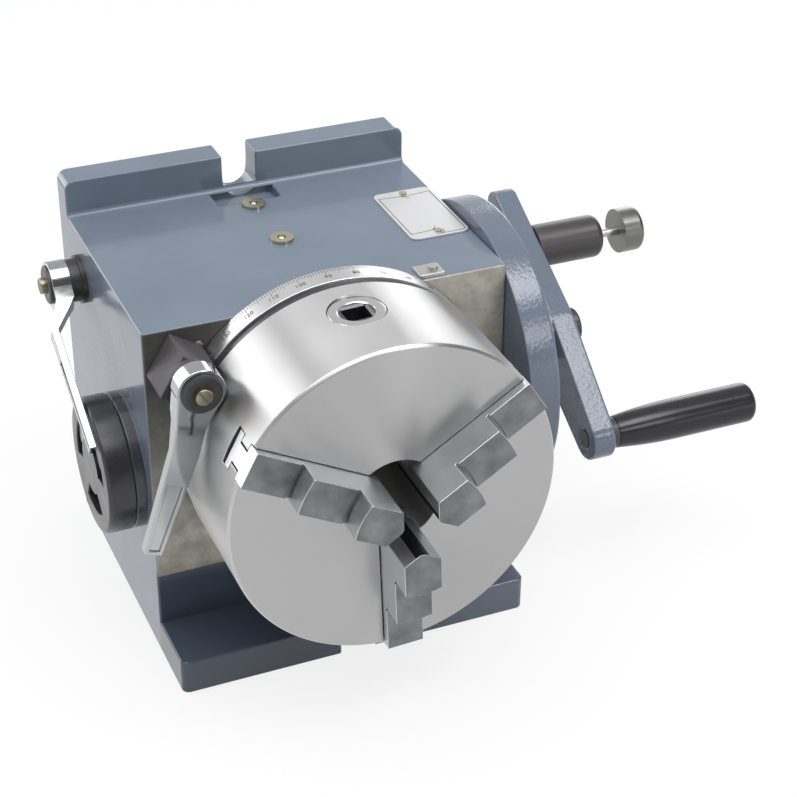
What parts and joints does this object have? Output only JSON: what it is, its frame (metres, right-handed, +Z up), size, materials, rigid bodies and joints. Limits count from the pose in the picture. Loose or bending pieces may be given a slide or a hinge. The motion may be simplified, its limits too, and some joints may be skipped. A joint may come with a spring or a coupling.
{
  "type": "dividing head",
  "caption": "Compact dividing head with a self-centring scroll chuck, worm drive, index plate, sprung index crank and clamp levers on a slotted cast body.",
  "frame": {"origin": "on the bottom face of the base, under the spindle axis, in the plane of the body's front face", "axes": "+X to the crank side, +Y from the chuck to the rear along the spindle, +Z up from the base"},
  "size_m": [0.2721, 0.2001, 0.1579],
  "materials": {
    "paint": "gloss",
    "ground_steel": "ground",
    "jaw_steel": "satin",
    "inner_steel": "turned",
    "chrome": "polished",
    "black_steel": "blackened satin",
    "knob_steel": "satin",
    "bronze": "machined",
    "brass": "polished",
    "grip_plastic": "gloss",
    "name_alloy": "satin"
  },
  "bodies": {
    "base": {"body_casting": "paint", "base_hatch": "inner_steel", "hatch_screws": "inner_steel", "front_bush": "bronze", "rear_bush": "bronze", "worm_sleeve": "bronze", "worm_bush": "bronze", "worm_end_cover": "black_steel", "cover_screws": "inner_steel", "gear_housing": "paint", "housing_screws": "inner_steel", "crank_bush": "bronze", "index_plate": "ground_steel", "plate_screws": "inner_steel", "zero_pointer": "inner_steel", "pointer_screw": "inner_steel", "name_plate": "name_alloy", "name_rivets": "brass", "oiler_cups": "brass", "oiler_balls": "brass", "clamp_block": "black_steel", "side_lever_bush": "black_steel"},
    "spindle_head": {"spindle": "inner_steel", "worm_wheel": "bronze", "wheel_key": "inner_steel", "spindle_nut": "inner_steel", "graduated_ring": "ground_steel", "chuck_back_plate": "black_steel", "chuck_body": "ground_steel", "chuck_rear_cover": "inner_steel", "chuck_bolts": "inner_steel"},
    "scroll": {"scroll_plate": "inner_steel"},
    "key_pinion_1": {"pinion_1": "jaw_steel"},
    "key_pinion_2": {"pinion_2": "jaw_steel"},
    "key_pinion_3": {"pinion_3": "jaw_steel"},
    "chuck_jaw_1": {"jaw_1": "jaw_steel"},
    "chuck_jaw_2": {"jaw_2": "jaw_steel"},
    "chuck_jaw_3": {"jaw_3": "jaw_steel"},
    "worm": {"worm_shaft": "inner_steel", "worm_gear": "inner_steel", "worm_nut": "inner_steel"},
    "crank": {"crank_shaft": "inner_steel", "crank_gear": "inner_steel", "crank_arm": "paint", "crank_nut": "black_steel", "plunger_barrel": "black_steel", "handle_post": "black_steel", "plunger_spring": "inner_steel"},
    "grip": {"handle_grip": "grip_plastic"},
    "plunger": {"index_pin": "inner_steel", "plunger_knob": "knob_steel"},
    "front_lever": {"clamp_lever": "chrome", "clamp_washer": "black_steel", "clamp_stud": "inner_steel"},
    "left_lever": {"side_lever": "chrome", "side_washer": "black_steel", "side_stud": "inner_steel"}
  },
  "joints": [
    {"name": "spindle_turn", "type": "hinge", "parent": "base", "child": "spindle_head", "pos_m": [0, 0, 0.0938], "axis": [0, 1, 0], "continuous": true},
    {"name": "worm_turn", "type": "hinge", "parent": "base", "child": "worm", "pos_m": [0, 0.034, 0.0605], "axis": [1, 0, 0], "continuous": true},
    {"name": "crank_turn", "type": "hinge", "parent": "base", "child": "crank", "pos_m": [0.111, 0.034, 0.0885], "axis": [1, 0, 0], "continuous": true},
    {"name": "grip_spin", "type": "hinge", "parent": "crank", "child": "grip", "pos_m": [0.15, -0.00679, 0.06046], "axis": [1, 0, 0], "continuous": true},
    {"name": "plunger_pull", "type": "slide", "parent": "crank", "child": "plunger", "axis": [1, 0, 0], "range_m": [0, 0.005], "stiffness_N_per_m": 800, "springref_m": -0.004, "deforming": ["plunger_spring"]},
    {"name": "scroll_turn", "type": "hinge", "parent": "spindle_head", "child": "scroll", "pos_m": [0, -0.0443, 0.0938], "axis": [0, 1, 0], "range_deg": [-300, 300]},
    {"name": "front_lever_swing", "type": "hinge", "parent": "base", "child": "front_lever", "pos_m": [-0.0596, -0.0239, 0.1341], "axis": [0, 1, 0], "range_deg": [0, 40]},
    {"name": "left_lever_swing", "type": "hinge", "parent": "base", "child": "left_lever", "pos_m": [-0.0774, 0.084, 0.124], "axis": [-1, 0, 0], "range_deg": [0, 50]},
    {"name": "pinion_1_turn", "type": "hinge", "parent": "spindle_head", "child": "key_pinion_1", "pos_m": [-0.00218, -0.0334, 0.14375], "axis": [-0.0436, 0, 0.999], "range_deg": [-1500, 1500]},
    {"name": "jaw_1_slide", "type": "slide", "parent": "spindle_head", "child": "chuck_jaw_1", "axis": [0.8434, 0, 0.5373], "range_m": [-0.005, 0.005]},
    {"name": "pinion_2_turn", "type": "hinge", "parent": "spindle_head", "child": "key_pinion_2", "pos_m": [-0.04217, -0.0334, 0.06693], "axis": [-0.8434, 0, -0.5373], "range_deg": [-1500, 1500]},
    {"name": "jaw_2_slide", "type": "slide", "parent": "spindle_head", "child": "chuck_jaw_2", "axis": [-0.887, 0, 0.4617], "range_m": [-0.005, 0.005]},
    {"name": "pinion_3_turn", "type": "hinge", "parent": "spindle_head", "child": "key_pinion_3", "pos_m": [0.04435, -0.0334, 0.07071], "axis": [0.887, 0, -0.4617], "range_deg": [-1500, 1500]},
    {"name": "jaw_3_slide", "type": "slide", "parent": "spindle_head", "child": "chuck_jaw_3", "axis": [0.0436, 0, -0.999], "range_m": [-0.005, 0.005]}
  ],
  "couplings": [
    {"joint": "worm_turn", "follows": "spindle_turn", "ratio": 40},
    {"joint": "crank_turn", "follows": "spindle_turn", "ratio": -40},
    {"joint": "pinion_1_turn", "follows": "scroll_turn", "ratio": 5},
    {"joint": "jaw_1_slide", "follows": "scroll_turn", "m_per_rad": 0.00095493},
    {"joint": "pinion_2_turn", "follows": "scroll_turn", "ratio": 5},
    {"joint": "jaw_2_slide", "follows": "scroll_turn", "m_per_rad": 0.00095493},
    {"joint": "pinion_3_turn", "follows": "scroll_turn", "ratio": 5},
    {"joint": "jaw_3_slide", "follows": "scroll_turn", "m_per_rad": 0.00095493}
  ]
}
